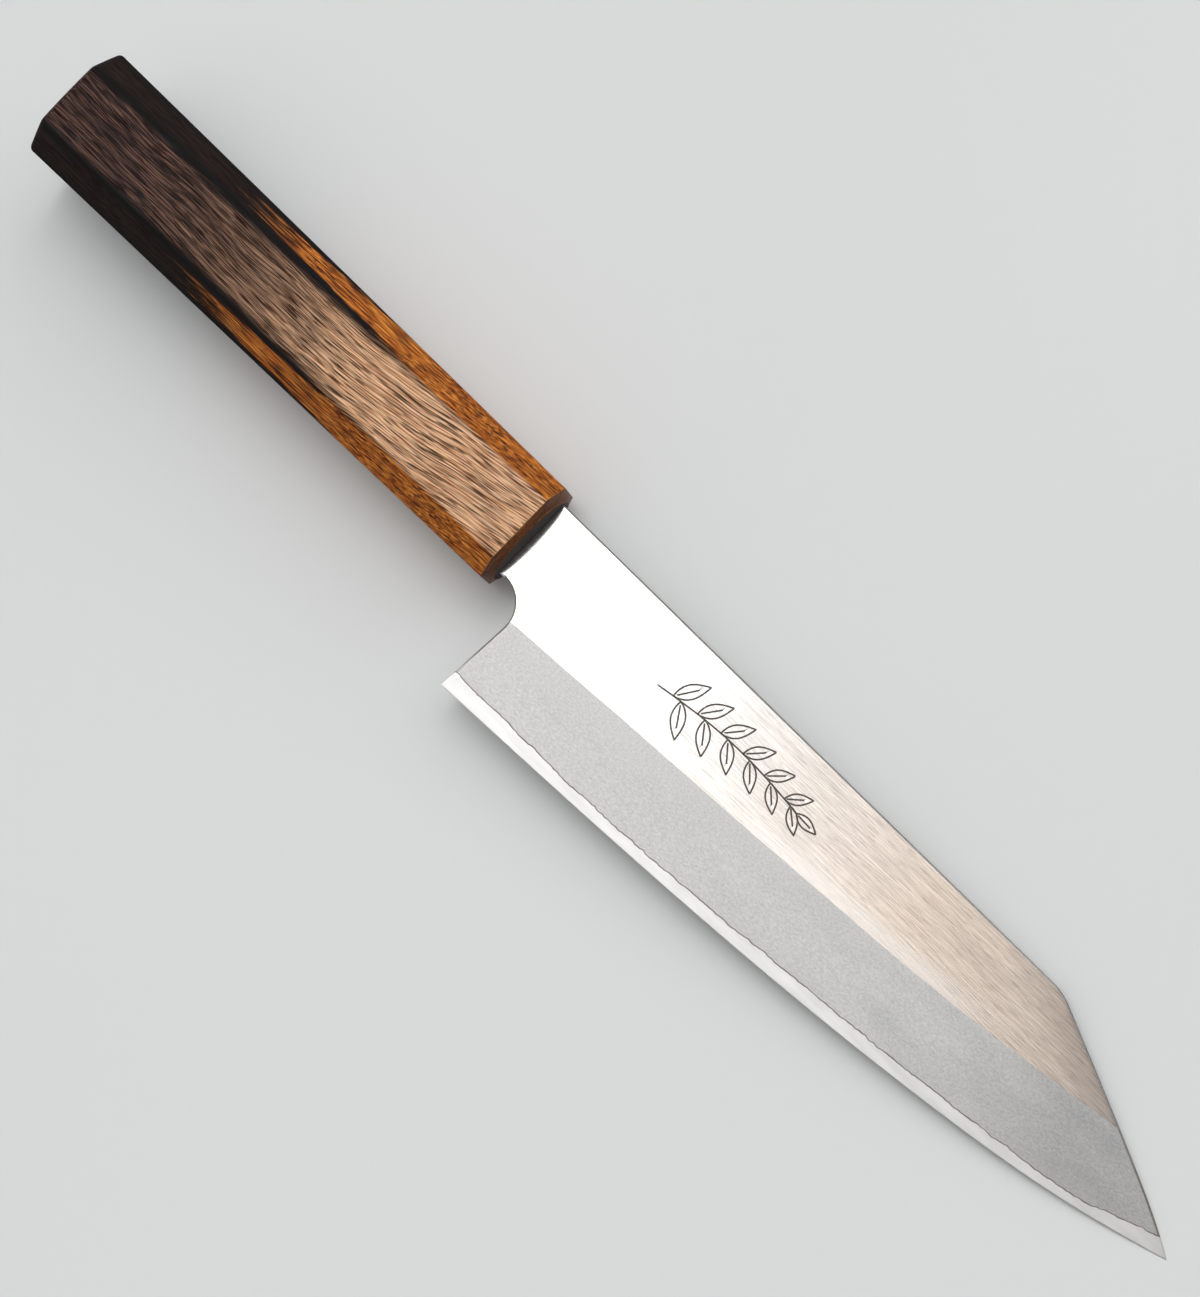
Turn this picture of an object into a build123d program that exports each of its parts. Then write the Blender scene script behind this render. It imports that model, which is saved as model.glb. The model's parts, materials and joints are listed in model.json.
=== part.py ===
from build123d import *

import os
from math import atan, atan2, cos, degrees, pi, sin

# A bunka chef knife: a three-ply blade with an angled tip, its tang glued into an octagonal handle
# of burnt oak.  All lengths are millimetres.
#
# The pieces are drawn in the knife's own axes: X runs from the handle's front face to the tip,
# Y from the edge towards the spine, and Z square to the blade's side.  The blade's middle plane
# and the handle's middle plane are both Z = 0.  The last step lays the knife down on its side as it
# comes to rest: on the front edge of the handle's lower facet and on its tip.

# Handle: (height along Y, thickness along Z) of its octagonal section at each end
HANDLE_LENGTH = 134.0
HANDLE_BUTT = (27.2, 20.6)
HANDLE_FRONT = (24.4, 19.8)
FACET_WIDTH = 15.9          # of the two wide facets, the same all along
BUTT_DOME = 1.2             # how far the middle of the butt stands out past its corners
BUTT_CHAMFER = 0.4
FRONT_EASE = 1.25           # length of the eased end that leads from the facets to the front face
FRONT_FACE = (22.0, 17.1)   # the oval front face

# Blade outline
SPINE_START = (0.0, 9.75)
SPINE_CORNER = (137.5, 8.45)
SPINE_CORNER_RADIUS = 12.0
DROP_START_SLOPE = -0.445    # of the drop edge, from the spine's corner down to the tip
DROP_MIDDLE = (170.5, -6.4)
DROP_END_SLOPE = -0.64
TIP = (186.4, -14.85)
HEEL = (7.1, -33.4)
EDGE_MIDDLE = [(60.9, -31.3), (100.2, -28.75), (138.6, -24.7), (168.7, -19.5)]
NECK_LOWER_Y = -9.05
CHOIL_START_X = 1.45
CHOIL_RADIUS = 6.95
HEEL_LEAN = 4.4             # degrees that the heel leans back towards the handle

# Where the flat side ends and the wide bevel starts, station by station from heel to tip.  The
# last point lies past the outline, on the line that the bevel's surface is ground to.
BEVEL_TOP_Y = [-14.7, -11.95, -9.8, -6.5, -2.4, -0.9]

# Blade thickness, half of it on each side of the middle plane
HALF_AT_NECK = 1.30
HALF_AT_TIP = 0.54
HALF_AT_TANG_END = 0.90
HALF_AT_EDGE = 0.04

# Half thickness of the core, from the tang's end to the tip
CORE_HALF = [(-98.0, 0.30), (7.0, 0.296), (41.0, 0.177), (115.0, 0.164), (161.0, 0.102), (187.0, 0.168)]

# Tang, and the mortise that holds it
SHOULDER_X = -4.0
TANG_ROOT_Y = (-5.2, 5.9)
TANG_END_X = -98.0
TANG_END_Y = (-3.2, 3.8)
TANG_FILLET = 1.2
MORTISE_GAP = 0.30          # round the neck, at the handle's mouth
BORE_GAP = 0.70             # round the tang, deeper in
BORE_END_GAP = 3.0

# The solids that shape the blade reach past it
REACH = 60.0                # half of their height
OVERRUN = 5.0               # past the blade's ends
CUTTER_CLEAR = 4.0          # past the edge, and up above the blade
CUTTER_ABOVE = 2.0          # past the bevel's top

NEARLY = 1.0                # how far from a line a corner may lie and count as on it


def octagon(size):
    """The handle's section: two wide facets, two side facets, and 45 degree bevels between."""
    half_height, half_thick, half_facet = size[0] / 2, size[1] / 2, FACET_WIDTH / 2
    side = half_thick - (half_height - half_facet)
    quarter = [(half_height, side), (half_facet, half_thick)]
    corners = quarter + [(-y, z) for y, z in reversed(quarter)]
    corners += [(-y, -z) for y, z in quarter]
    corners += [(y, -z) for y, z in reversed(quarter)]
    return corners


def section_face(x, corners):
    """A flat face at x with these (Y, Z) corners."""
    return make_face(Polyline([(x, y, z) for y, z in corners], close=True))


def front_oval(corners):
    """The oval front face, drawn as eight arcs that start opposite the octagon's corners."""
    across, thick = FRONT_FACE[0] / 2, FRONT_FACE[1] / 2
    angles = [atan2(z / thick, y / across) for y, z in corners]
    arcs = []
    for k, start in enumerate(angles):
        end = angles[(k + 1) % len(angles)]
        if end < start:
            end += 2 * pi
        points = [(0, across * cos(a), thick * sin(a)) for a in (start, (start + end) / 2, end)]
        arcs.append(Spline(points, tangents=[oval_tangent(start), oval_tangent(end)]))
    return make_face(Curve() + arcs)


def oval_tangent(angle):
    """The direction of the front oval at an angle of its parameter."""
    return Vector(0, -FRONT_FACE[0] / 2 * sin(angle), FRONT_FACE[1] / 2 * cos(angle))


def handle_body():
    """The handle before it is bored: a tapered octagon with a domed butt and an eased front end."""
    butt, front = octagon(HANDLE_BUTT), octagon(HANDLE_FRONT)
    shaft = loft([section_face(-HANDLE_LENGTH, butt), section_face(-FRONT_EASE, front)], ruled=True)
    half = HANDLE_BUTT[0] / 2
    dome_radius = (half**2 + BUTT_DOME**2) / (2 * BUTT_DOME)
    shaft &= Pos(dome_radius - HANDLE_LENGTH, 0, 0) * Sphere(dome_radius)
    shaft = chamfer(shaft.faces().sort_by(Axis.X)[0].edges(), BUTT_CHAMFER)
    ease = loft([section_face(-FRONT_EASE, front), front_oval(front)], ruled=True)
    return shaft + ease


def blade_outline():
    """The blade's outline with its tang, as seen from the side."""
    shoulder_spine = (SHOULDER_X, SPINE_START[1])
    shoulder_edge = (SHOULDER_X, NECK_LOWER_Y)
    choil_start = (CHOIL_START_X, NECK_LOWER_Y)
    choil = JernArc(choil_start, (1, 0), CHOIL_RADIUS, -90 - HEEL_LEAN)
    drop_slopes = [(1, DROP_START_SLOPE), (1, DROP_END_SLOPE)]
    drop = Spline([SPINE_CORNER, DROP_MIDDLE, TIP], tangents=drop_slopes)
    edge = Spline([TIP] + EDGE_MIDDLE[::-1] + [HEEL])
    back = Polyline(
        [
            choil_start,
            shoulder_edge,
            (SHOULDER_X, TANG_ROOT_Y[0]),
            (TANG_END_X, TANG_END_Y[0]),
            (TANG_END_X, TANG_END_Y[1]),
            (SHOULDER_X, TANG_ROOT_Y[1]),
            shoulder_spine,
            SPINE_START,
            SPINE_CORNER,
        ]
    )
    outline = make_face(Curve() + [back, drop, edge, Line(HEEL, choil @ 1), choil])
    tang_corners = [v for v in outline.vertices() if v.X < SHOULDER_X - NEARLY]
    tang_corners += [v for v in outline.vertices() if abs(v.X - SHOULDER_X) < NEARLY and v.Y in TANG_ROOT_Y]
    outline = fillet(tang_corners, TANG_FILLET)
    spine_corner = outline.vertices().sort_by_distance(SPINE_CORNER)[0]
    return fillet(spine_corner, SPINE_CORNER_RADIUS)


def half_thickness(x):
    """Half the blade's thickness between its flat sides, at x along the blade."""
    return HALF_AT_NECK + (HALF_AT_TIP - HALF_AT_NECK) * x / TIP[0]


def mirrored_slab(top):
    """A solid as thick as the (X, Z) curve `top` says on each side of the middle plane."""
    bottom = mirror(top, about=Plane.XY)
    ends = [Line(top @ t, bottom @ t) for t in (0, 1)]
    return extrude(make_face(Curve() + [top, bottom] + ends), REACH, both=True)


def flats_slab():
    """Everything between the blade's two flat sides, which draw together towards the tip."""
    end_x = TIP[0] + OVERRUN
    corners = [
        (TANG_END_X - OVERRUN, 0, HALF_AT_TANG_END),
        (0, 0, HALF_AT_NECK),
        (end_x, 0, half_thickness(end_x)),
    ]
    return mirrored_slab(Polyline(corners))


def core_slab():
    """The core's share of the blade's thickness, which swells a little towards heel and tip."""
    return mirrored_slab(Spline([(x, 0, z) for x, z in CORE_HALF]))


def bevel_cutter():
    """What grinding takes off one side: all above the wide bevel's surface, from heel to tip."""
    stations = [HEEL] + EDGE_MIDDLE + [TIP]
    lines = [(x, edge_y, top_y) for (x, edge_y), top_y in zip(stations, BEVEL_TOP_Y)]
    lines = [beyond(lines[1], lines[0])] + lines + [beyond(lines[-2], lines[-1])]
    sections = []
    for x, edge_y, top_y in lines:
        slope = (half_thickness(x) - HALF_AT_EDGE) / (top_y - edge_y)
        low_y = edge_y - CUTTER_CLEAR
        high_y = top_y + CUTTER_ABOVE
        low_z = HALF_AT_EDGE + slope * (low_y - edge_y)
        high_z = HALF_AT_EDGE + slope * (high_y - edge_y)
        ground = [(low_y, low_z), (high_y, high_z)]
        clear = [(high_y, CUTTER_CLEAR), (low_y, CUTTER_CLEAR)]
        sections.append(section_face(x, ground + clear))
    return loft(sections)


def beyond(inner, last):
    """The next bevel line past `last`, in line with the two given."""
    share = OVERRUN / abs(last[0] - inner[0])
    return tuple(b + (b - a) * share for a, b in zip(inner, last))


def blade_body():
    """The whole blade with its tang, before it is split into its three plies."""
    blade = extrude(blade_outline(), REACH, both=True) & flats_slab()
    cutter = bevel_cutter()
    return blade - cutter - mirror(cutter, about=Plane.XY)


def cavity(x_near, x_far, near_y, far_y, near_half, far_half):
    """A slot in the handle that runs from x_near back to x_far."""
    ends = [(x_near, near_y, near_half), (x_far, far_y, far_half)]
    return loft(
        [section_face(x, [(y[0], -z), (y[1], -z), (y[1], z), (y[0], z)]) for x, y, z in ends],
        ruled=True,
    )


def widened(limits, gap):
    """A pair of limits with the gap added at each end."""
    return limits[0] - gap, limits[1] + gap


blade = blade_body()
core = blade & core_slab()
plies = (blade - core_slab()).solids().sort_by(Axis.Z)

mouth_y = widened((NECK_LOWER_Y, SPINE_START[1]), MORTISE_GAP)
mouth_end_x = SHOULDER_X - MORTISE_GAP
mouth = cavity(0, mouth_end_x, mouth_y, mouth_y, HALF_AT_NECK + MORTISE_GAP, HALF_AT_NECK + MORTISE_GAP)
bore = cavity(
    mouth_end_x,
    TANG_END_X - BORE_END_GAP,
    widened(TANG_ROOT_Y, BORE_GAP),
    widened(TANG_END_Y, BORE_GAP),
    HALF_AT_NECK + MORTISE_GAP,
    HALF_AT_TANG_END + MORTISE_GAP,
)

pieces = {
    "blade_core": core,
    "cladding_lower": plies[0],
    "cladding_upper": plies[-1],
    "handle": handle_body() - mouth - bore,
    "mouth_seal": mouth - blade,
    "tang_adhesive": bore - blade,
}

# Lay the knife down: its nose drops until the tip stands as low as the handle's front edge.
nose_down = degrees(atan((HANDLE_FRONT[1] / 2 - HALF_AT_EDGE) / (TIP[0] + FRONT_EASE)))
pieces = {name: Rot(0, nose_down, 0) * piece for name, piece in pieces.items()}
box = Compound(children=[s for piece in pieces.values() for s in piece.solids()]).bounding_box()
origin = Vector((box.min.X + box.max.X) / 2, (box.min.Y + box.max.Y) / 2, box.min.Z)

os.makedirs("parts", exist_ok=True)
for name, piece in pieces.items():
    export_step(Pos(-origin) * piece, f"parts/{name}.step")
print("nose down by", round(nose_down, 4), "degrees; knife axes' origin at", -origin)
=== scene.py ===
import json
import math

import bpy
import numpy as np
from mathutils import Matrix, Vector, geometry, noise


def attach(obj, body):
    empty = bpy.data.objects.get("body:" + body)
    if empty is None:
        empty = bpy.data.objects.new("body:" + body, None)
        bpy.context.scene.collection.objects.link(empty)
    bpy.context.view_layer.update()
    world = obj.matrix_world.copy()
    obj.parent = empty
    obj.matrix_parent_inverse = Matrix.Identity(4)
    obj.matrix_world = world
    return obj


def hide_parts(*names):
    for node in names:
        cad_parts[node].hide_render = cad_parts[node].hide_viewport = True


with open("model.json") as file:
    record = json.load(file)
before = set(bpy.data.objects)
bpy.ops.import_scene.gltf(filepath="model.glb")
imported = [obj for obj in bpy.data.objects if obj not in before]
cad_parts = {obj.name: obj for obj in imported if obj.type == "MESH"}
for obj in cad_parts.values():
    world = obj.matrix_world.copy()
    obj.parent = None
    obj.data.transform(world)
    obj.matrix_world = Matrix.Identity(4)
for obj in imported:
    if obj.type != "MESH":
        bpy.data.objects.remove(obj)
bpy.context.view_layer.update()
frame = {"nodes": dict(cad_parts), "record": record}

# A bunka chef knife that lies on its side: three-ply blade, octagonal handle of burnt oak.
#
# Shapes are worked out in mm on the knife's own axes, as in the CAD: X from the handle's front face
# to the tip, Y from the edge to the spine, Z square to the blade's side. `placed` turns them into
# the frame's metres.

MM = 0.001

# ---------------------------------------------------------------------------------------------
# Driving dimensions, mm

HANDLE_LENGTH = 134.0
HANDLE_BUTT = (27.2, 20.6)      # height along Y, thickness along Z
HANDLE_FRONT = (24.4, 19.8)
FACET_WIDTH = 15.9
ARRIS_RADIUS = 0.75             # rounding between the facets
BUTT_DOME = (0.65, 0.68)        # how far the butt's end falls off at the facets, along Y and Z
BUTT_ROUNDING = 1.4
FRONT_EASE = 1.25
FRONT_FACE = (22.0, 17.1)
FRONT_ROUNDING = 0.25
FRONT_BULGE = 0.008             # how far the ease bulges, as a share of its distance from the axis

SPINE_START = (0.0, 9.75)
SPINE_CORNER = (137.5, 8.45)
CORNER_REACH = 2.6              # how far from the spine's corner its rounding starts
DROP_MIDDLE = (170.5, -6.4)
DROP_SLOPES = (-0.445, -0.64)
TIP = (186.4, -14.85)
HEEL = (7.1, -33.4)
EDGE_MIDDLE = [(60.9, -31.3), (100.2, -28.75), (138.6, -24.7), (168.7, -19.5)]
BEVEL_TOP_Y = [-14.7, -11.95, -9.8, -6.5, -2.4, -0.9]
NECK_LOWER_Y = -9.05
CHOIL_START_X = 1.45
CHOIL_RADIUS = 6.95
CHOIL_STEPS = 25
HEEL_LEAN = 4.4

HALF_AT_NECK = 1.30
HALF_AT_TIP = 0.54
HALF_AT_TANG_END = 0.90
HALF_AT_BEVEL_FOOT = 0.04       # where the wide bevel would end, at the edge
HALF_AT_EDGE = 0.012
EDGE_ANGLE = 15.0               # of the sharpened edge's own narrow bevel
CORE_HALF = [(-98.0, 0.30), (7.0, 0.296), (41.0, 0.177), (115.0, 0.164), (161.0, 0.102), (187.0, 0.168)]

SHOULDER_X = -4.0
TANG_ROOT_Y = (-5.2, 5.9)
TANG_END_X = -98.0
TANG_END_Y = (-3.2, 3.8)
MORTISE_GAP = 0.30
BORE_GAP = 0.70
BORE_END_GAP = 3.0
RESIN_DEPTH = 0.05              # of the mouth's resin behind the front face

# Height of the core's bright strip over the edge, along the blade
STRIP = [(7.4, 3.9), (20.8, 3.2), (41, 2.5), (61, 2.4), (81, 2.6), (110, 2.9), (139, 2.5), (154, 2.2),
         (161, 1.85), (169, 2.0), (176, 2.9), (183, 3.3)]
WELD_SWAY = [(0.09, 5.2, 20), (0.07, 2.3, 30), (0.12, 0.85, 40)]    # size, wavelength and seed
WELD_LINE = 0.22                # width of the dark line along the weld
CLADDING_WELD_STEP, CORE_WELD_STEP = 0.24, 0.33     # between the weld line's points
RIM_WIDTH = 0.6                 # rounding of the blade's spine, drop and choil edges
RIM_ROWS = (0.07, 0.2, 0.4, 0.68, 1.0)              # where the rounding's rows of points lie, as shares
CORE_RIM = 0.15
RIM_FALL, CORE_RIM_FALL = 0.5, 0.45     # how much of the thickness the rounding takes away at the edge
PLATE_STEP, CORE_STEP = 1.15, 3.0       # between the points that fill the cladding and the core
PLATE_CLEAR, CORE_CLEAR = 1.4, 2.0      # how far those keep from the rim
LINE_CLEAR, CORE_LINE_CLEAR = 0.16, 0.05            # and from the weld and bevel lines
BEVEL_SLOPE = 0.066             # of the wide bevel near the edge
RIDGE_LINE = (0.0701, -16.22)   # slope and height of a straight line close to the wide bevel's top

GRAIN_TILT = 0.11               # how steeply the grain climbs at the front end
SIDE_CHAR = (-88.5, -66.5)      # from where to where the char fades out on the narrow sides
FACE_CHAR = (-110.0, -48.0)     # the same on the two broad ones
ARRIS_LEAD = 34.0               # how much further the char reaches along the arrises
WOOD_GLOSS = 0.11               # of the oil finish
END_GRAIN_GLOSS = 0.3

# ---------------------------------------------------------------------------------------------
# The knife's own axes, from the two flat mounts of the record

RACK_POINT = Vector((62.0, -1.2, 0.0))      # where the two mounts stand, on the knife's own axes


def mount(name):
    """The record's mount of that name."""
    return next(m for m in frame["record"]["mounts"] if m["name"] == name)


upper_flat, lower_flat = mount("blade_upper_flat"), mount("blade_lower_flat")
knife_z = (Vector(upper_flat["axis"]) - Vector(lower_flat["axis"])).normalized()
NOSE_DOWN = math.atan2(knife_z.x, knife_z.z)
knife_turn = Matrix.Rotation(NOSE_DOWN, 3, "Y")
rack_middle = (Vector(upper_flat["pos_m"]) + Vector(lower_flat["pos_m"])) / 2
knife_origin = rack_middle - knife_turn @ (RACK_POINT * MM)


def placed(points):
    """Points on the knife's own axes, in mm, as points of the frame, in metres."""
    return np.asarray(points, float) @ np.array(knife_turn).T * MM + np.array(knife_origin)


# ---------------------------------------------------------------------------------------------
# Curves


def spline(points, start_slope=None, end_slope=None):
    """The smooth curve y(x) through the points. It runs out straight at an end with no slope given."""
    x, y = np.array(points, float).T
    n, h = len(x), np.diff(x)
    a, b = np.eye(n), np.zeros(n)
    for k in range(1, n - 1):
        a[k, k - 1:k + 2] = h[k - 1], 2 * (h[k - 1] + h[k]), h[k]
        b[k] = 6 * ((y[k + 1] - y[k]) / h[k] - (y[k] - y[k - 1]) / h[k - 1])
    if start_slope is not None:
        a[0, :2] = 2 * h[0], h[0]
        b[0] = 6 * ((y[1] - y[0]) / h[0] - start_slope)
    if end_slope is not None:
        a[-1, -2:] = h[-1], 2 * h[-1]
        b[-1] = 6 * (end_slope - (y[-1] - y[-2]) / h[-1])
    bend = np.linalg.solve(a, b)

    def at(q):
        q = np.asarray(q, float)
        k = np.clip(np.searchsorted(x, q) - 1, 0, n - 2)
        left, right, w = x[k + 1] - q, q - x[k], h[k]
        curved = (bend[k] * left**3 + bend[k + 1] * right**3) / (6 * w)
        return curved + (y[k] / w - bend[k] * w / 6) * left + (y[k + 1] / w - bend[k + 1] * w / 6) * right

    return at


def wander(x, wavelength, seed):
    """A smooth random line, between about -1 and 1."""
    x = np.asarray(x, float)
    values = [noise.noise((q / wavelength, seed, 0.5)) for q in x.ravel()]
    return 2 * np.array(values).reshape(x.shape)


def smooth(low, high, q):
    """0 below low, 1 above high, and an even S between."""
    t = np.clip((q - low) / (high - low), 0, 1)
    return t * t * (3 - 2 * t)


def spaced(start, end, step):
    """Evenly spaced numbers from start to end, about a step apart."""
    return np.linspace(start, end, max(2, int(abs(end - start) / step) + 1))


def run(x, y):
    """A polyline as an array of points."""
    x, y = np.broadcast_arrays(np.asarray(x, float), np.asarray(y, float))
    return np.column_stack([x, y])


def resampled(line, step):
    """The same polyline with points a step apart."""
    along = np.concatenate([[0], np.cumsum(np.linalg.norm(np.diff(line, axis=0), axis=1))])
    q = spaced(0, along[-1], step)
    return np.column_stack([np.interp(q, along, line[:, k]) for k in (0, 1)])


def distance_to(points, line):
    """How far each point is from a polyline."""
    best = np.full(len(points), np.inf)
    for a, d in zip(line[:-1], np.diff(line, axis=0)):
        t = np.clip(((points - a) @ d) / max(d @ d, 1e-12), 0, 1)
        best = np.minimum(best, np.linalg.norm(points - a - t[:, None] * d, axis=1))
    return best


def inside(points, ring):
    """Which points a closed ring holds."""
    held = np.zeros(len(points), bool)
    x, y = points.T
    for (ax, ay), (bx, by) in zip(ring, np.roll(ring, -1, axis=0)):
        if ay != by:
            held ^= ((ay > y) != (by > y)) & (x < (bx - ax) * (y - ay) / (by - ay) + ax)
    return held


# ---------------------------------------------------------------------------------------------
# The blade's outline and surfaces

edge_y = spline([HEEL] + EDGE_MIDDLE + [TIP])
drop_y = spline([SPINE_CORNER, DROP_MIDDLE, TIP], *DROP_SLOPES)
bevel_top_y = spline([(p[0], y) for p, y in zip([HEEL] + EDGE_MIDDLE + [TIP], BEVEL_TOP_Y)])
core_half = spline(CORE_HALF)
strip = spline(STRIP)


def half_thickness(x):
    """Half the blade's thickness between its flat sides."""
    ahead = HALF_AT_NECK + (HALF_AT_TIP - HALF_AT_NECK) * x / TIP[0]
    behind = HALF_AT_NECK + (HALF_AT_TANG_END - HALF_AT_NECK) * x / TANG_END_X
    return np.where(x < 0, behind, ahead)


def spine_y(x):
    """The straight spine."""
    slope = (SPINE_CORNER[1] - SPINE_START[1]) / (SPINE_CORNER[0] - SPINE_START[0])
    return SPINE_START[1] + slope * (x - SPINE_START[0])


def top_y(x):
    """The blade's upper outline: spine, rounded corner and drop."""
    x = np.asarray(x, float)
    u = np.clip((x - SPINE_CORNER[0] + CORNER_REACH) / (2 * CORNER_REACH), 0, 1)
    before, after = SPINE_CORNER[0] - CORNER_REACH, SPINE_CORNER[0] + CORNER_REACH
    bend = spine_y(before) * (1 - u)**2 + SPINE_CORNER[1] * 2 * u * (1 - u) + drop_y(after) * u**2
    return np.where(x <= before, spine_y(x), np.where(x >= after, drop_y(x), bend))


def shinogi_y(x):
    """Where flat and wide bevel meet, with the slight unsteadiness of hand grinding."""
    return bevel_top_y(x) + 0.07 * wander(x, 17.0, 3.1) + 0.03 * wander(x, 5.0, 8.4)


def bevel_z(x, y):
    """The wide bevel's surface, and the edge's own narrow bevel."""
    foot = edge_y(x)
    slope = (half_thickness(x) - HALF_AT_BEVEL_FOOT) / (shinogi_y(x) - foot)
    wide = HALF_AT_BEVEL_FOOT + slope * (y - foot)
    narrow = HALF_AT_EDGE + math.tan(math.radians(EDGE_ANGLE)) * (y - foot)
    return np.minimum(wide, narrow)


def weld_y(x, side):
    """The wavy line on the bevel where the core comes out from under the cladding."""
    sway = sum(size * wander(x, wavelength, seed + side) for size, wavelength, seed in WELD_SWAY)
    return edge_y(x) + strip(x) + sway


def dark_top_y(x, side):
    """The upper side of the dark line along the weld."""
    return weld_y(x, side) + WELD_LINE * (1 + 0.2 * wander(x, 1.7, 50 + side))


def surface_z(x, y):
    """Half the blade's thickness at a point of its side."""
    return np.minimum(half_thickness(x), bevel_z(x, y))


def interface_z(x, y, side):
    """Half the core's thickness, which meets the bevel along the weld line."""
    at_weld = bevel_z(x, weld_y(x, side))
    share = 1 - smooth(0, 3.0, y - weld_y(x, side))
    return core_half(x) + (at_weld - core_half(x)) * share


def choil_line():
    """From the end of the neck round the choil and down to the heel."""
    turn = np.radians(np.linspace(90, -HEEL_LEAN, CHOIL_STEPS + 1))
    arc = run(CHOIL_START_X + CHOIL_RADIUS * np.cos(turn), NECK_LOWER_Y + CHOIL_RADIUS * (np.sin(turn) - 1))
    down = resampled(np.array([arc[-1], HEEL]), 0.5)
    return np.vstack([arc, down[1:]])


def tang_line():
    """From the spine at the shoulder round the tang to the neck's lower side."""
    corners = [
        SPINE_START,
        (SHOULDER_X, SPINE_START[1]),
        (SHOULDER_X, TANG_ROOT_Y[1]),
        (TANG_END_X, TANG_END_Y[1]),
        (TANG_END_X, TANG_END_Y[0]),
        (SHOULDER_X, TANG_ROOT_Y[0]),
        (SHOULDER_X, NECK_LOWER_Y),
        (CHOIL_START_X, NECK_LOWER_Y),
    ]
    sides = [resampled(np.array(pair), 1.5)[1:] for pair in zip(corners, corners[1:])]
    return np.vstack([np.array(corners[:1]), *sides])


def crossing(curve_a, curve_b, low, high):
    """The x between low and high at which two curves meet."""
    below = curve_a(low) < curve_b(low)
    for _ in range(50):
        middle = (low + high) / 2
        if (curve_a(middle) < curve_b(middle)) == below:
            low = middle
        else:
            high = middle
    return (low + high) / 2


back_of_blade = choil_line()
choil_end, heel = back_of_blade[CHOIL_STEPS], back_of_blade[-1]
heel_x = spline([tuple(heel[::-1]), tuple(choil_end[::-1])])    # the straight heel's x at a height y


def upper_outline(from_x):
    """The drop and the spine, from some x back to the start of the spine, closest round the corner."""
    corner_x = SPINE_CORNER[0]
    parts = [(from_x, corner_x + 4, 0.5), (corner_x + 3.7, corner_x - 4, 0.3), (corner_x - 4.6, 0, 0.6)]
    x = np.concatenate([spaced(*part) for part in parts])
    return run(x, top_y(x))


# ---------------------------------------------------------------------------------------------
# The engraving: a plain leafy sprig

GROOVE_WIDTH = 0.36
GROOVE_DEPTH = 0.07
SPRIG_START = (39.0, -3.2)
SPRIG_LENGTH = 37.5
SPRIG_PAIRS = 6
LEAF_LENGTH = (8.0, 5.6)        # at the sprig's foot and at its end
LEAF_SPREAD = (58.0, 38.0)      # degrees from the stem, at the foot and at the end
LEAF_WIDTH = 0.19               # half of it, as a share of the length
STEM_BEND, STEM_RISE = 1.5, 0.7


def sprig_stem(u):
    """The stem's middle line, u from 0 at its foot to 1 at its end leaf."""
    rise = STEM_BEND * np.sin(math.pi * u) + STEM_RISE * u
    return np.array([SPRIG_START[0] + SPRIG_LENGTH * u, SPRIG_START[1] + rise])


def leaf(foot, angle, length):
    """A pointed leaf's outline and its midrib, as two polylines."""
    u = np.linspace(0, 1, 15)
    along = np.array([math.cos(angle), math.sin(angle)])
    across = np.array([-along[1], along[0]])
    belly = LEAF_WIDTH * length * np.sin(math.pi * u**0.85)
    sides = [foot + np.outer(length * u, along) + np.outer(way * belly, across) for way in (1, -1)]
    rib = foot + np.outer(length * np.linspace(0.12, 0.7, 8), along)
    return [np.vstack([sides[0], sides[1][::-1][1:]]), rib]


def sprig():
    """All the engraving's strokes."""
    strokes = [np.array([sprig_stem(u) for u in np.linspace(0, 1, 60)])]
    for k in range(SPRIG_PAIRS):
        u = 0.1 + 0.8 * k / (SPRIG_PAIRS - 1)
        length = LEAF_LENGTH[0] + (LEAF_LENGTH[1] - LEAF_LENGTH[0]) * u
        spread = math.radians(LEAF_SPREAD[0] + (LEAF_SPREAD[1] - LEAF_SPREAD[0]) * u)
        for way in (1, -1):
            strokes += leaf(sprig_stem(u + 0.025 * (1 - way)), spread * way, length)
    strokes += leaf(sprig_stem(1), math.radians(-4), LEAF_LENGTH[1])
    return [resampled(line, 0.3) for line in strokes]


# ---------------------------------------------------------------------------------------------
# Meshes

FLAT, BEVEL, RIM, WELD, GROOVE = range(5)       # the cladding's materials, by number
BARE_CORE, HONED, HIDDEN = range(3)             # the core's
SIDES, EASE, FRONT, BUTT, BORE = range(5)       # the handle's


def made_piece(name, points, faces, kinds, materials, node, slot):
    """A mesh object from knife-axis points in mm, which stands for a CAD node and hides it. The slot
    argument is not used.
    """
    mesh = bpy.data.meshes.new(name)
    mesh.from_pydata(placed(points).tolist(), [], faces)
    for material in materials:
        mesh.materials.append(material)
    mesh.polygons.foreach_set("material_index", np.asarray(kinds, np.int32))
    mesh.polygons.foreach_set("use_smooth", np.ones(len(faces), bool))
    mesh.update()
    piece = bpy.data.objects.new(name, mesh)
    bpy.context.scene.collection.objects.link(piece)
    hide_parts(node)
    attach(piece, "root")
    return piece


def sharpen(piece, angle):
    """Marks as sharp the edges between two materials, and those that turn by more than an angle."""
    mesh = piece.data
    mesh.set_sharp_from_angle(angle=math.radians(angle))
    seen = {}
    for face in mesh.polygons:
        for key in face.edge_keys:
            seen.setdefault(key, set()).add(face.material_index)
    for mesh_edge in mesh.edges:
        if len(seen[mesh_edge.key]) > 1:
            mesh_edge.use_edge_sharp = True


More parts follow.
